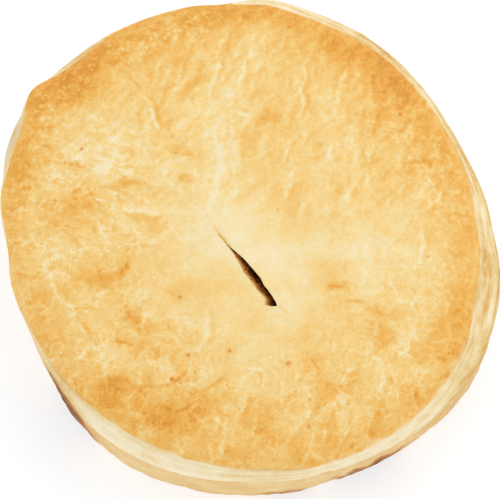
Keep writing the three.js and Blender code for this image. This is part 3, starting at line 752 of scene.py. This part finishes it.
def makeSlitBlade():  # a leaning blade with torn faces, as wide as the slit at each place
    slit = puffedLid["slit"]
    start, end = np.array(slit["from"]), np.array(slit["to"])
    way = (end - start) / np.linalg.norm(end - start)
    toLeft = np.array([-way[1], way[0]])
    columns, rows = slit["columns"], slit["rows"]
    share = np.arange(columns) / columns
    shares = np.concatenate([share, 1 - share])
    middling = np.sin(math.pi * shares)
    places, front, rear = np.array(slit["opening"]).T
    opening = np.concatenate([-np.interp(share, places, front), np.interp(1 - share, places, rear)])
    points, faces = [], []
    for height in np.linspace(heights["crown"] + 3, heights["seam"], rows):
        torn = 0.22 * cloud(shares * 21, np.full_like(shares, height), 1.6, 400) * middling
        torn = torn + 0.3 * cloud(shares * 21, np.full_like(shares, height * 2.2), 2.4, 410) * middling
        shift = slit["lean"] * (heights["crown"] - height)
        sideways = shift + opening + torn * (height < heights["crown"] - 0.3)
        flat = start + np.outer(shares, end - start) + np.outer(sideways, toLeft)
        points.append(np.column_stack([flat, np.full(len(flat), height)]))
    around = 2 * columns
    for row in range(rows - 1):
        upper = np.arange(row * around, (row + 1) * around)
        faces += bandFaces(upper, upper + around).tolist()
    top = list(range(around))
    bottom = list(range((rows - 1) * around, rows * around))
    for i in range(columns - 1):  # each end is closed by strips between the two sides
        strip = (i, i + 1, around - i - 2, around - i - 1)
        faces.append([top[k] for k in strip])
        faces.append([bottom[k] for k in reversed(strip)])
    return makeObject("slitBlade", np.concatenate(points), faces)


def cutSlit(lid):
    blade = makeSlitBlade()
    cut = lid.modifiers.new("slit", "BOOLEAN")
    cut.operation = "DIFFERENCE"
    cut.solver = "EXACT"
    cut.object = blade
    opened = bpy.data.meshes.new_from_object(lid.evaluated_get(bpy.context.evaluated_depsgraph_get()))
    lid.modifiers.clear()
    lid.data = opened
    bpy.data.objects.remove(blade)


def patchesAt(x, y, patches, sharpness):
    total = np.zeros_like(x)
    wanderX = x + 1.8 * cloud(x, y, 7, 131) + 0.5 * cloud(x, y, 2.2, 133)
    wanderY = y + 1.8 * cloud(x, y, 7, 137) + 0.5 * cloud(x, y, 2.2, 139)
    for atX, atY, along, across, turn, amount in patches:
        c, s = math.cos(math.radians(turn)), math.sin(math.radians(turn))
        dx, dy = wanderX - atX, wanderY - atY
        away = ((dx * c + dy * s) / along) ** 2 + ((dy * c - dx * s) / across) ** 2
        total += amount * np.exp(-away ** sharpness)
    return total


# The top's browning, with painted light and shade on the folds mixed in.
def topBaking(x, y, share, found):
    browning = puffedLid["browning"]
    bake = browning["middle"] + browning["edge"] * smooth(share, 0.78, 1.0)
    bake += browning["rear"] * smooth(y, 8, 38)
    bake += patchesAt(x, y, puffedLid["patches"], 1) + patchesAt(x, y, puffedLid["goldenFlakes"], 2)
    bake += browning["uneven"] * clouds(x, y, 7, 151)
    bake += sum(amount * found[name] for name, amount in puffedLid["browningByRelief"].items())
    bake -= 0.4 * np.maximum(bake - 0.85, 0)
    return np.clip(bake, 0, 1.2)


def paintLid(lid):
    x, y, z = vertexPlaces(lid).T
    angle = planAngle(x, y)
    edge = lidEdgeAt(angle)
    share = np.hypot(x, y) / edge
    found = lidFeatures(x, y, share)
    rimTop = lidTopAt(edge * np.cos(np.radians(angle)), edge * np.sin(np.radians(angle)))
    down = np.clip((rimTop - z) / (rimTop - heights["seam"]), 0, 1)
    pastEdge = np.hypot(x, y) - edge + (rimTop - z) * (share > 0.96)  # over the edge and down
    ragged = 0.7 * clouds(arcAt(angle), down * 3, 4.5, 163)
    leftward = smooth(-x, 14, 32) * bell(y - 3, 22)
    fromSlit = aroundSlit(x, y)
    frontal = smooth(-y, 2, 28) * smooth(fromSlit, 12, 30)
    flecked = bell(angleBetween(angle, 30), 26) * smooth(share, 0.62, 0.82)
    curly = np.clip(0.85 * leftward + 0.55 * frontal + 0.75 * flecked, 0, 1)
    lively = 1 - 0.5 * bell(fromSlit, 22)
    calm = 1 - 0.7 * found["bubbly"]
    creaseAcross, creaseDark = creaseMarks(x, y)
    below = lidTopAt(x, y) - z
    side = puffedLid["side"]
    paintVertices(
        lid,
        bake=topBaking(x, y, share, found),
        lively=lively,
        leftward=leftward,
        # where the painted light and shade of the small folds goes
        folded=lively * (0.15 + 0.85 * np.maximum(smooth(y, -4, 14), 0.8 * leftward)),
        curly=curly * calm,
        netted=(0.12 + 0.70 * frontal) * calm,
        bubbly=found["bubbly"],
        crestAcross=found["crestAcross"],
        crestPale=found["crestPale"],
        creaseAcross=creaseAcross,
        creaseDark=creaseDark,
        pinhole=holeOffsets(x, y),
        side=(share > 0.9) * smooth(pastEdge + ragged - brownReachAt(angle), -0.8, 0.8),
        sideBake=sideBaking(angle, down),
        sideLayered=0.4 + 0.45 * np.clip(stretches(angle, side["layered"]), 0, 1),
        sideGrey=np.clip(stretches(angle, side["grey"]), 0, 1),
        cutDepth=(share < 0.9) * smooth(below, 0.12, 0.7) * np.clip(below, 0, 6))


def net(tree, place, look):  # pale broken edges between flakes, 1 in the middle of an edge
    edge = cells(tree, place, look["size"], "DISTANCE_TO_EDGE").outputs["Distance"]
    patch = grain(tree, place, look["patch"])
    width = between(tree, patch, look["from"], look["to"], 0.02, look["width"])
    drawn = between(tree, edge, 0.0, width, 1.0, 0.0)
    return times(tree, drawn, between(tree, patch, look["from"] - 0.06, look["to"])), edge


def flakePattern(tree, place, look):  # the pale edges, and how much more or less each flake is browned
    seen = leaning(tree, place, look["lean"], look["stretch"])
    wide, edge = net(tree, seen, look["wide"])
    fine = net(tree, seen, look["fine"])[0]
    own = firstOf(tree, cells(tree, seen, look["wide"]["size"], "F1").outputs["Color"])
    own = times(tree, centred(tree, own), between(tree, edge, 0.0, look["soft"]))
    return calc(tree, "MAXIMUM", wide, times(tree, fine, look["fineShare"])), own


def foldFlanks(tree, place, look):  # painted light and shade of small folds: above 0 on the lit side of each fold, drawn paler, and below 0 on the shaded side, drawn browner
    seen = leaning(tree, place, look["lean"], look["stretch"])
    sides = []
    for reach in (-look["reach"], look["reach"]):
        moved = vectorCalc(tree, "ADD", seen, (reach, 0, 0)).outputs[0]
        sides.append(calc(tree, "ABSOLUTE", centred(tree, grain(tree, moved, look["size"], 2.0, 0.5))))
    return calc(tree, "SUBTRACT", *sides)


def bubbles(tree, place, uneven, look):  # small pale blisters of different sizes
    spots = cells(tree, place, look["size"], "F1").outputs
    radius = addScaled(tree, firstOf(tree, spots["Color"]), look["spread"], look["least"])
    reach = addScaled(tree, uneven, look["uneven"], calc(tree, "DIVIDE", spots["Distance"], radius))
    return between(tree, reach, 0.3, 1.6, 1.0, 0.0)


def curlyLines(tree, place, look):  # short curly lines, paler and browner side by side
    wave = centred(tree, grain(tree, place, look["size"], 2.5, 0.6))
    pale = between(tree, calc(tree, "ABSOLUTE", wave), 0.0, look["width"], -look["pale"], 0.0)
    brown = calc(tree, "ABSOLUTE", calc(tree, "SUBTRACT", wave, 2.2 * look["width"]))
    brown = between(tree, brown, 0.0, 1.3 * look["width"], look["dark"], 0.0)
    patch = between(tree, grain(tree, place, look["patch"]), look["from"], look["to"])
    return times(tree, calc(tree, "ADD", pale, brown), patch)


def tornCrest(tree, place, uneven, shade):  # below 0 on the pale crest, partly a painted highlight, and above 0 in the painted shade beside it
    across = addScaled(tree, uneven, 1.8, painted(tree, "crestAcross"))
    torn = between(tree, grain(tree, place, 1.1), 0.36, 0.60, 0.25, 1.15)
    crest = times(tree, between(tree, calc(tree, "ABSOLUTE", across), 0.2, 1.1, 1.0, 0.0), torn)
    beyond = calc(tree, "ABSOLUTE", calc(tree, "SUBTRACT", across, 1.9))
    return calc(tree, "SUBTRACT", between(tree, beyond, 0.1, 1.6, shade, 0.0), crest)


def dots(tree, offset, uneven, near, far):  # round each painted spot, 1 inside it, times the spot's strength
    offset = addNode(tree, "ShaderNodeSeparateXYZ", {"Vector": offset}).outputs
    flat = addNode(tree, "ShaderNodeCombineXYZ", {"X": offset["X"], "Y": offset["Y"]}).outputs[0]
    reach = calc(tree, "ADD", vectorCalc(tree, "LENGTH", flat).outputs["Value"], uneven)
    return times(tree, between(tree, reach, near, far, 1.0, 0.0), offset["Z"])


def bakedTop(tree, place, pushed, look):  # the top's colour, and what stands up in its bump
    lumps = 0.0
    for size, amount in look["mottle"]:
        lumps = addScaled(tree, centred(tree, grain(tree, pushed, size)), amount, lumps)
    bake = addScaled(tree, lumps, painted(tree, "lively"), painted(tree, "bake"))
    bake = addScaled(tree, curlyLines(tree, place, look["curl"]), painted(tree, "curly"), bake)
    leftward = painted(tree, "leftward")
    # painted light and shade of small folds
    folds = mixed(tree, leftward, *[foldFlanks(tree, pushed, look[name]) for name in ("fold", "leftFold")])
    folds = times(tree, folds, painted(tree, "folded"))
    bake = addScaled(tree, folds, -look["foldAmount"], bake)
    netted = painted(tree, "netted")
    mainNet, mainOwn = flakePattern(tree, pushed, look["main"])
    leftNet, leftOwn = flakePattern(tree, pushed, look["left"])
    edges = times(tree, mixed(tree, leftward, mainNet, leftNet), netted)
    own = times(tree, mixed(tree, leftward, mainOwn, leftOwn), netted)
    bake = addScaled(tree, own, look["flakeAmount"], bake)
    bake = addScaled(tree, edges, -look["netAmount"], bake)
    uneven = centred(tree, grain(tree, place, 0.9))
    # painted highlight on each crest and painted shade beside it
    crest = tornCrest(tree, place, uneven, look["crestShade"])
    bake = addScaled(tree, crest, painted(tree, "crestPale"), bake)
    # painted shade in the creases
    across = addScaled(tree, uneven, 1.6, painted(tree, "creaseAcross"))
    crease = between(tree, calc(tree, "ABSOLUTE", across), 0.0, 1.3, 1.0, 0.0)
    bake = addScaled(tree, crease, painted(tree, "creaseDark"), bake)
    bubble = bubbles(tree, shifted(tree, place, 1.8, 1.2), uneven, look["bubble"])
    bubble = times(tree, bubble, painted(tree, "bubbly"))
    bake = addScaled(tree, bubble, -look["bubbleAmount"], bake)
    hole = addNode(tree, "ShaderNodeAttribute", attribute_name="pinhole").outputs["Vector"]
    bake = addScaled(tree, dots(tree, hole, uneven, 0.7, 2.2), 0.16, bake)
    bake = calc(tree, "SMOOTH_MIN", bake, look["deepest"], 0.25)
    colour = ramp(tree, times(tree, bake, 0.8), look["crustTones"])
    colour = blend(tree, dots(tree, hole, uneven, 0.4, 1.2), colour, look["holeTone"])
    height = addScaled(tree, own, 0.8, grain(tree, pushed, 1.6, 3.0))
    height = addScaled(tree, edges, 0.7, height)
    return colour, addScaled(tree, bubble, 1.2, height)


def tornSide(tree, place, look):  # the colour of the layers at the lid's side
    layered = vectorCalc(tree, "MULTIPLY", place, (0.22, 0.22, 2.4)).outputs[0]
    layers = centred(tree, grain(tree, layered, 1.0, 3.0))
    bake = addScaled(tree, layers, painted(tree, "sideLayered"), painted(tree, "sideBake"))
    bake = addScaled(tree, centred(tree, grain(tree, place, 0.7)), 0.30, bake)
    colour = ramp(tree, times(tree, bake, 0.8), look["sideTones"])
    return blend(tree, painted(tree, "sideGrey"), colour, look["greyTone"])


def bakedLidMaterial():
    look = puffedLid
    material, tree, shader, place = newMaterial("bakedLid")
    pushed = place
    for size, reach in look["push"]:
        pushed = shifted(tree, pushed, size, reach)
    colour, height = bakedTop(tree, place, pushed, look)
    colour = blend(tree, painted(tree, "side"), colour, tornSide(tree, place, look))
    depth = painted(tree, "cutDepth")
    # painted shade: the slit's wall is drawn darker the deeper it lies
    fibres = addScaled(tree, centred(tree, grain(tree, place, 0.6, 3.0)), 1.6, times(tree, depth, 0.11))
    colour = blend(tree, between(tree, depth, 0.02, 0.35), colour, ramp(tree, fibres, look["cutTones"]))
    tree.links.new(colour, shader.inputs["Base Color"])
    fine = grain(tree, place, 0.45)
    rough = addScaled(tree, fine, 0.2, look["roughness"] - 0.1)
    tree.links.new(rough, shader.inputs["Roughness"])
    shader.inputs["Specular IOR Level"].default_value = look["gloss"]
    shader.inputs["Subsurface Weight"].default_value = look["softness"]
    shader.inputs["Subsurface Radius"].default_value = look["softReach"]
    shader.inputs["Subsurface Scale"].default_value = 1.0 * mm
    addBump(tree, shader, addScaled(tree, fine, 0.5, height), look["bump"], 0.2)
    return material


pastryCase = {
    "around": 720, "wallRows": 36, "thickness": 3.4, "floor": 3.6, "footRound": 2.6, "belly": 0.5,
    "underSeam": 0.4,  # how far it stays inside the seam
    "underRows": 26, "dimple": 0.35,  # the underside, and how deep its dimples are
    # Angle, half width, how dark, how high.
    "scorched": [(-138, 8, 1.0, 40), (-61, 9, 0.95, 15), (-77, 1.8, 0.9, 8), (-82, 6, 0.5, 12)],
    # The seam band is painted shade under the lid's lip, along the top of the case.
    "toast": 0.36, "toastAtFoot": 0.16, "toastAtSeam": 0.14, "toastUnderneath": 0.22,
    "toastier": [(-15, 35, 0.16)],  # angle, half width, how much
    "speckle": 0.36, "mottle": 0.24, "roughness": 0.68, "gloss": 0.12, "bump": 0.6,
    "tones": [
        (0.0, tone(243, 224, 180)), (0.3, tone(238, 208, 150)), (0.55, tone(228, 186, 118)),
        (0.8, tone(206, 150, 78)), (1.0, tone(170, 108, 48)),
    ],
    "scorchTones": [(0.0, tone(216, 168, 100)), (0.45, tone(180, 120, 54)), (1.0, tone(116, 68, 24))],
}


def caseFaceAt(angle, height):
    share = height / heights["seam"]
    taper = footInsetAt(angle) * (1 - share) - pastryCase["belly"] * np.sin(math.pi * share)
    belowRound = np.maximum(0, pastryCase["footRound"] - height)
    corner = pastryCase["footRound"] - np.sqrt(pastryCase["footRound"] ** 2 - belowRound ** 2)
    arc = arcAt(angle)
    lumps = 0.30 * clouds(arc, np.full_like(arc, height), 9, 211)
    lumps = lumps + 0.10 * cloud(arc, arc * 0 + height, 1.4, 223)
    wrinkles = 0.14 * cloud(arc, arc * 0 + height * 0.25, 3.2, 227)
    relief = (lumps + wrinkles) * np.minimum(1, (1.05 - share) * 5)
    return rimAt(angle) - taper - corner - pastryCase["underSeam"] + relief


def makeCase():
    around = np.arange(pastryCase["around"]) * 360 / pastryCase["around"]
    inner = rimAt(around) - pastryCase["underSeam"] - pastryCase["thickness"]
    foot = inner - footInsetAt(around) + 1.0
    floor = pastryCase["floor"]
    points = [[[0, 0, floor]], ringPoints(around, foot * 0.5, floor)]
    first = np.arange(1, 1 + len(around))
    faces = [[0, int(a), int(b)] for a, b in zip(first, np.roll(first, -1))]
    rings = [(foot, floor), (inner, heights["seam"])]
    for height in heights["seam"] * (1 - np.linspace(0, 1, pastryCase["wallRows"]) ** 1.15):
        rings.append((caseFaceAt(around, height), height))
    flat = caseFaceAt(around, 0)
    turn = np.radians(around)
    for share in np.linspace(0.97, 0.03, pastryCase["underRows"]):
        dimples = clouds(flat * share * np.cos(turn), flat * share * np.sin(turn), 6, 231)
        dip = pastryCase["dimple"] * np.clip(dimples, 0, 1)
        rings.append((flat * share, dip * smooth(1 - share, 0, 0.08)))
    last = addRings(points, faces, first, around, rings)
    closeRing(points, faces, last, 0.1)
    return makeObject("pastryCase", np.concatenate(points), faces)


def paintCase(case):
    x, y, z = vertexPlaces(case).T
    angle = planAngle(x, y)
    arc = arcAt(angle)
    toast = pastryCase["toast"] + 0.12 * clouds(arc, z, 8, 241) + pastryCase["toastAtFoot"] * smooth(z, 7, 0)
    # painted shade under the lid's lip, along the seam
    toast += pastryCase["toastAtSeam"] * bell(z - heights["seam"], 1.2)
    toast += stretches(angle, pastryCase["toastier"])
    toast += 0.12 * np.clip(cloud(arc, z, 1.5, 251), 0, 1)
    scorch = np.zeros_like(x)
    for at, width, dark, high in pastryCase["scorched"]:
        ragged = z / high + 0.25 * clouds(arc, z, 4, 257)
        scorch = np.maximum(scorch, dark * bell(angleBetween(angle, at), width) * smooth(ragged, 1.0, 0.1))
    underneath = smooth(z, 1.2, 0.0) * (np.hypot(x, y) < caseFaceAt(angle, 0) - 0.5)
    toast += underneath * (pastryCase["toastUnderneath"] + 0.16 * clouds(x, y, 9, 263))
    paintVertices(case, bake=np.clip(toast, 0, 1.2), scorch=np.clip(scorch, 0, 1))


def bakedCaseMaterial():
    look = pastryCase
    material, tree, shader, place = newMaterial("bakedCase")
    fine = grain(tree, place, 0.8, 3.0)
    coarse = grain(tree, place, 3.0, 3.0)
    bake = addScaled(tree, centred(tree, fine), look["speckle"], painted(tree, "bake"))
    bake = addScaled(tree, centred(tree, coarse), look["mottle"], bake)
    colour = ramp(tree, bake, look["tones"])
    burnt = times(tree, painted(tree, "scorch"), addScaled(tree, coarse, 1.2, 0.45))
    dark = ramp(tree, burnt, look["scorchTones"])
    tree.links.new(blend(tree, between(tree, burnt, 0.05, 0.45), colour, dark), shader.inputs["Base Color"])
    shader.inputs["Roughness"].default_value = look["roughness"]
    shader.inputs["Specular IOR Level"].default_value = look["gloss"]
    addBump(tree, shader, addScaled(tree, coarse, 0.7, fine), look["bump"], 0.15)
    return material


minceAndCheese = {
    "cells": 130, "crumb": 3.0, "crumbHeight": 0.8, "clearance": 0.3,
    "meatTones": [(0.3, tone(70, 38, 18)), (0.55, tone(112, 66, 32)), (0.75, tone(146, 92, 48))],
    "cheese": 7.5, "cheeseTone": tone(214, 150, 60),
    "roughness": 0.35, "bump": 0.5,
}


def makeFilling():
    x, y, quads, border = roundGrid(minceAndCheese["cells"])
    angle = planAngle(x, y)
    share = np.hypot(x, y)
    edge = rimAt(angle) - pastryCase["underSeam"] - pastryCase["thickness"] - minceAndCheese["clearance"]
    x, y = x * edge, y * edge
    rise = heights["fillingTop"] - heights["seam"]
    away, _, own = blisterCells(x, y, minceAndCheese["crumb"], 271)
    dips = minceAndCheese["crumbHeight"] * (0.4 + 0.6 * own) * np.clip(away * 1.2, 0, 1) ** 2
    top = heights["seam"] - 0.1 + rise * (1 - share ** 2) - dips * (1 - share ** 4)
    points = [np.stack([x, y, top], -1)]
    faces = quads.tolist()
    around = angle[border]
    foot = heights["fillingFoot"]
    rings = [(edge[border] - footInsetAt(around) * (1 - part), foot + (heights["seam"] - foot) * part)
             for part in (0.66, 0.33, 0.0)]
    last = addRings(points, faces, border, around, rings)
    closeRing(points, faces, last, foot)
    return makeObject("minceAndCheese", np.concatenate(points), faces)


def minceMaterial():
    look = minceAndCheese
    material, tree, shader, place = newMaterial("minceAndCheese")
    meat = ramp(tree, grain(tree, place, 2.0, 4.0), look["meatTones"])
    cheese = between(tree, grain(tree, place, look["cheese"], 1.0), 0.56, 0.62)
    tree.links.new(blend(tree, cheese, meat, look["cheeseTone"]), shader.inputs["Base Color"])
    shader.inputs["Roughness"].default_value = look["roughness"]
    addBump(tree, shader, grain(tree, place, 1.1, 3.0), look["bump"], 0.2)
    return material


# Lengths here are in metres, but the aim, the lens and the floor's drop are in millimetres.
studio = {
    "elevation": 66.5, "distance": 0.9, "aim": (0.31, -0.50, 14.0), "lens": 292.8,
    "sky": 0.88, "skyColour": (1.0, 0.99, 0.97, 1),
    "keyPlace": (0.30, 0.38, 0.75), "keySize": 0.6, "keyPower": 1.3,
    "floorSize": 4, "floorRoughness": 0.9,
    "floorDrop": 0.02,  # just clear of the pie's flat underside
    "floorTones": [(0.3, tone(168, 170, 174)), (0.7, tone(172, 174, 178))],
    "floorGlow": 0.66, "floorGlowColour": (0.98, 0.99, 1.0, 1),
}


def makeCamera():
    tilt = math.radians(studio["elevation"])
    back = Vector((0, -math.cos(tilt), math.sin(tilt)))
    camera = bpy.data.objects.new("camera", bpy.data.cameras.new("camera"))
    bpy.context.scene.collection.objects.link(camera)
    camera.location = Vector(studio["aim"]) * mm + back * studio["distance"]
    camera.rotation_euler = back.to_track_quat("Z", "Y").to_euler()
    camera.data.sensor_width = 36
    camera.data.lens = studio["lens"]
    camera.data.clip_start = 0.05
    bpy.context.scene.camera = camera


def makeStudio():
    world = bpy.data.worlds.new("softRoom")
    bpy.context.scene.world = world
    world.use_nodes = True
    sky = world.node_tree.nodes["Background"].inputs
    sky["Color"].default_value = studio["skyColour"]
    sky["Strength"].default_value = studio["sky"]
    key = bpy.data.objects.new("keyLight", bpy.data.lights.new("keyLight", "AREA"))
    bpy.context.scene.collection.objects.link(key)
    key.location = studio["keyPlace"]
    key.rotation_euler = Vector(studio["keyPlace"]).to_track_quat("Z", "Y").to_euler()
    key.data.size = studio["keySize"]
    key.data.energy = studio["keyPower"]
    bpy.ops.mesh.primitive_plane_add(size=studio["floorSize"])
    floor = bpy.context.object
    floor.name = "floor"
    floor.location.z = -studio["floorDrop"] * mm
    material, tree, shader, place = newMaterial("paleTable")
    shade = ramp(tree, grain(tree, place, 300), studio["floorTones"])
    tree.links.new(shade, shader.inputs["Base Color"])
    shader.inputs["Emission Color"].default_value = studio["floorGlowColour"]
    shader.inputs["Emission Strength"].default_value = studio["floorGlow"]
    shader.inputs["Roughness"].default_value = studio["floorRoughness"]
    floor.data.materials.append(material)
    bpy.context.scene.view_settings.view_transform = "Standard"


def dress(piece, material, node):
    piece.data.materials.clear()
    piece.data.materials.append(material)
    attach(piece, "root")
    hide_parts(node)


makeCamera()
makeStudio()
print("studio: camera, light and table")

lid = makeLid()
cutSlit(lid)
paintLid(lid)
dress(lid, bakedLidMaterial(), "lid")
print("lid:", len(lid.data.polygons), "faces")

case = makeCase()
paintCase(case)
dress(case, bakedCaseMaterial(), "base_crust")
print("case:", len(case.data.polygons), "faces")

filling = makeFilling()
dress(filling, minceMaterial(), "filling")
print("filling:", len(filling.data.polygons), "faces")
